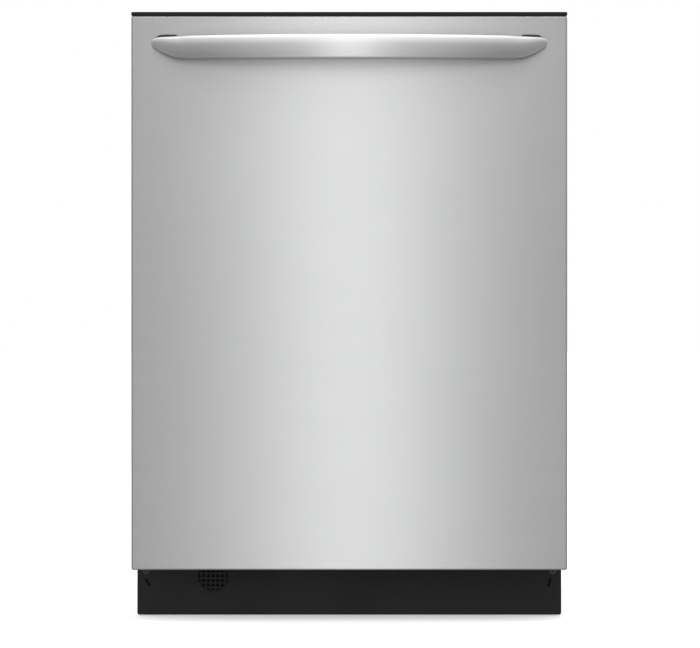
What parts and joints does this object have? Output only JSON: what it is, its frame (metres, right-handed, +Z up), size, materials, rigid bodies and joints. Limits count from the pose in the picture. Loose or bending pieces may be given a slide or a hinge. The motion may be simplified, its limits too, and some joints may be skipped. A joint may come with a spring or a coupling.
{
  "type": "built in dishwasher",
  "caption": "Built-in dishwasher with a brushed steel drop-down door, bowed bar handle, hidden top controls, black toe kick, pull-out racks, spray arms, pumps and levelling legs",
  "frame": {"origin": "centre of the footprint, on the floor", "axes": "+Z up, -Y is the front (door) side, +X to the right when seen from the front"},
  "size_m": [0.608, 0.64, 0.85],
  "materials": {
    "door_steel": "fine vertical brushing",
    "handle_steel": "satin",
    "handle_foot": "matt black",
    "tub_steel": "bright",
    "liner_steel": "bright",
    "felt": "bitumen felt",
    "frame_steel": "galvanised",
    "toe_paint": "semi-gloss black",
    "screw_steel": "zinc plated",
    "seal": "matt",
    "sump_plastic": "matt",
    "pump_plastic": "matt",
    "motor_metal": "satin",
    "hose": "matt",
    "valve_plastic": "matt",
    "box_steel": "galvanised",
    "heater": "heat tinted",
    "filter_mesh": "perforated",
    "cup_plastic": "matt",
    "riser_plastic": "matt",
    "rail_steel": "satin",
    "spring_steel": "oiled",
    "rotor_metal": "satin",
    "float_plastic": "matt",
    "arm_plastic": "matt",
    "rack_coat": "vinyl coat",
    "basket_plastic": "matt",
    "wheel_plastic": "matt",
    "panel_black": "satin black",
    "key_plastic": "satin",
    "arm_steel": "galvanised",
    "dispenser_plastic": "matt",
    "lid_plastic": "matt",
    "cap_plastic": "matt",
    "vent_plastic": "matt",
    "board_green": "solder mask",
    "latch_plastic": "matt",
    "lens": "gloss",
    "leg_steel": "zinc plated"
  },
  "bodies": {
    "cabinet": {"tub": "tub_steel", "sound_blanket": "felt", "side_frames": "frame_steel", "cross_rails": "frame_steel", "countertop_brackets": "frame_steel", "toe_kick": "toe_paint", "frame_screws": "screw_steel", "tub_gasket": "seal", "latch_strike": "screw_steel", "sump": "sump_plastic", "wash_pump": "pump_plastic", "wash_motor": "motor_metal", "drain_pump": "pump_plastic", "inlet_valve": "valve_plastic", "fill_hose": "hose", "junction_box": "box_steel", "heating_element": "heater", "flat_filter": "filter_mesh", "feed_tube": "riser_plastic", "outer_rails": "rail_steel", "door_springs": "spring_steel"},
    "pump_rotor_body": {"pump_rotor": "rotor_metal"},
    "float_body": {"float": "float_plastic"},
    "filter_cup_body": {"filter_cup": "cup_plastic"},
    "lower_arm_body": {"lower_spray_arm": "arm_plastic"},
    "middle_rails_body": {"middle_rails": "rail_steel"},
    "upper_rack_body": {"upper_rack": "rack_coat", "inner_rails": "rail_steel", "upper_manifold": "riser_plastic"},
    "upper_arm_body": {"upper_spray_arm": "arm_plastic"},
    "shelf_left_body": {"cup_shelf_left": "rack_coat"},
    "shelf_right_body": {"cup_shelf_right": "rack_coat"},
    "lower_rack_body": {"lower_rack": "rack_coat", "silverware_basket": "basket_plastic"},
    "wheels_front_body": {"lower_wheels_front": "wheel_plastic"},
    "wheels_rear_body": {"lower_wheels_rear": "wheel_plastic"},
    "fold_tines_body": {"fold_tines": "rack_coat"},
    "door": {"door_outer_panel": "door_steel", "door_inner_panel": "liner_steel", "control_panel": "panel_black", "door_handle": "handle_steel", "handle_feet": "handle_foot", "door_screws": "screw_steel", "hinge_arms": "arm_steel", "dispenser_body": "dispenser_plastic", "vent_cover": "vent_plastic", "control_board": "board_green", "display_window": "lens"},
    "dispenser_lid_body": {"dispenser_lid": "lid_plastic"},
    "rinse_cap_body": {"rinse_aid_cap": "cap_plastic"},
    "catch_body": {"latch_catch": "latch_plastic"},
    "cables_body": {"spring_cables": "spring_steel"},
    "leg_fl": {"leg_front_left": "leg_steel"},
    "leg_fr": {"leg_front_right": "leg_steel"},
    "leg_rl": {"leg_rear_left": "leg_steel"},
    "leg_rr": {"leg_rear_right": "leg_steel"},
    "key_power": {"button_power": "key_plastic"},
    "key_cycle": {"button_cycle": "key_plastic"},
    "key_option": {"button_option": "key_plastic"},
    "key_start": {"button_start": "key_plastic"}
  },
  "joints": [
    {"name": "door_hinge", "type": "hinge", "parent": "cabinet", "child": "door", "pos_m": [0, -0.246, 0.092], "axis": [1, 0, 0], "range_deg": [0, 90], "stiffness_Nm_per_rad": 28},
    {"name": "upper_rack_slide", "type": "slide", "parent": "cabinet", "child": "upper_rack_body", "axis": [0, -1, 0], "range_m": [0, 0.43]},
    {"name": "middle_rails_slide", "type": "slide", "parent": "cabinet", "child": "middle_rails_body", "axis": [0, -1, 0], "range_m": [0, 0.215]},
    {"name": "lower_rack_slide", "type": "slide", "parent": "cabinet", "child": "lower_rack_body", "axis": [0, -1, 0], "range_m": [0, 0.1336]},
    {"name": "front_wheels_roll", "type": "hinge", "parent": "lower_rack_body", "child": "wheels_front_body", "pos_m": [0, -0.12, 0.1773], "axis": [1, 0, 0], "continuous": true},
    {"name": "rear_wheels_roll", "type": "hinge", "parent": "lower_rack_body", "child": "wheels_rear_body", "pos_m": [0, 0.18, 0.1773], "axis": [1, 0, 0], "continuous": true},
    {"name": "spring_cables_pull", "type": "slide", "parent": "cabinet", "child": "cables_body", "axis": [0, -1, 0], "range_m": [0, 0.0498], "deforming": ["door_springs"]},
    {"name": "pump_rotor_spin", "type": "hinge", "parent": "cabinet", "child": "pump_rotor_body", "pos_m": [0.17, 0.04, 0.084], "axis": [1, 0, 0], "continuous": true},
    {"name": "lower_arm_spin", "type": "hinge", "parent": "cabinet", "child": "lower_arm_body", "pos_m": [0, 0.04, 0.189], "axis": [0, 0, 1], "continuous": true},
    {"name": "upper_arm_spin", "type": "hinge", "parent": "upper_rack_body", "child": "upper_arm_body", "pos_m": [0, 0.04, 0.485], "axis": [0, 0, 1], "continuous": true},
    {"name": "float_lift", "type": "slide", "parent": "cabinet", "child": "float_body", "axis": [0, 0, 1], "range_m": [0, 0.008]},
    {"name": "filter_cup_twist", "type": "hinge", "parent": "cabinet", "child": "filter_cup_body", "pos_m": [0.036, 0, 0.12], "axis": [0, 0, 1], "range_deg": [0, 90]},
    {"name": "shelf_left_lift", "type": "hinge", "parent": "upper_rack_body", "child": "shelf_left_body", "pos_m": [-0.252, -0.03, 0.64], "axis": [0, -1, 0], "range_deg": [0, 85]},
    {"name": "shelf_right_lift", "type": "hinge", "parent": "upper_rack_body", "child": "shelf_right_body", "pos_m": [0.252, -0.03, 0.64], "axis": [0, 1, 0], "range_deg": [0, 85]},
    {"name": "tines_fold", "type": "hinge", "parent": "lower_rack_body", "child": "fold_tines_body", "pos_m": [0.0502, 0.03, 0.214], "axis": [0, -1, 0], "range_deg": [0, 80]},
    {"name": "dispenser_lid_slide", "type": "slide", "parent": "door", "child": "dispenser_lid_body", "axis": [1, 0, 0], "range_m": [0, 0.05]},
    {"name": "rinse_cap_turn", "type": "hinge", "parent": "door", "child": "rinse_cap_body", "pos_m": [0.062, -0.19, 0.447], "axis": [0, -1, 0], "range_deg": [0, 90]},
    {"name": "latch_catch_dip", "type": "hinge", "parent": "door", "child": "catch_body", "pos_m": [0, -0.236, 0.826], "axis": [-1, 0, 0], "range_deg": [0, 12], "stiffness_Nm_per_rad": 0.4},
    {"name": "press_power", "type": "slide", "parent": "door", "child": "key_power", "axis": [0, 0, -1], "range_m": [0, 0.0012], "stiffness_N_per_m": 900},
    {"name": "press_cycle", "type": "slide", "parent": "door", "child": "key_cycle", "axis": [0, 0, -1], "range_m": [0, 0.0012], "stiffness_N_per_m": 900},
    {"name": "press_option", "type": "slide", "parent": "door", "child": "key_option", "axis": [0, 0, -1], "range_m": [0, 0.0012], "stiffness_N_per_m": 900},
    {"name": "press_start", "type": "slide", "parent": "door", "child": "key_start", "axis": [0, 0, -1], "range_m": [0, 0.0012], "stiffness_N_per_m": 900},
    {"name": "leg_front_left_screw", "type": "slide", "parent": "cabinet", "child": "leg_fl", "axis": [0, 0, -1], "range_m": [0, 0.038]},
    {"name": "leg_front_right_screw", "type": "slide", "parent": "cabinet", "child": "leg_fr", "axis": [0, 0, -1], "range_m": [0, 0.038]},
    {"name": "leg_rear_left_screw", "type": "slide", "parent": "cabinet", "child": "leg_rl", "axis": [0, 0, -1], "range_m": [0, 0.038]},
    {"name": "leg_rear_right_screw", "type": "slide", "parent": "cabinet", "child": "leg_rr", "axis": [0, 0, -1], "range_m": [0, 0.038]}
  ],
  "couplings": [
    {"joint": "upper_rack_slide", "follows": "door_hinge", "m_per_rad": 0.2737},
    {"joint": "middle_rails_slide", "follows": "door_hinge", "m_per_rad": 0.13685},
    {"joint": "lower_rack_slide", "follows": "door_hinge", "m_per_rad": 0.085},
    {"joint": "front_wheels_roll", "follows": "door_hinge", "ratio": 4.4737},
    {"joint": "rear_wheels_roll", "follows": "door_hinge", "ratio": 4.4737},
    {"joint": "spring_cables_pull", "follows": "door_hinge", "m_per_rad": 0.0316}
  ]
}
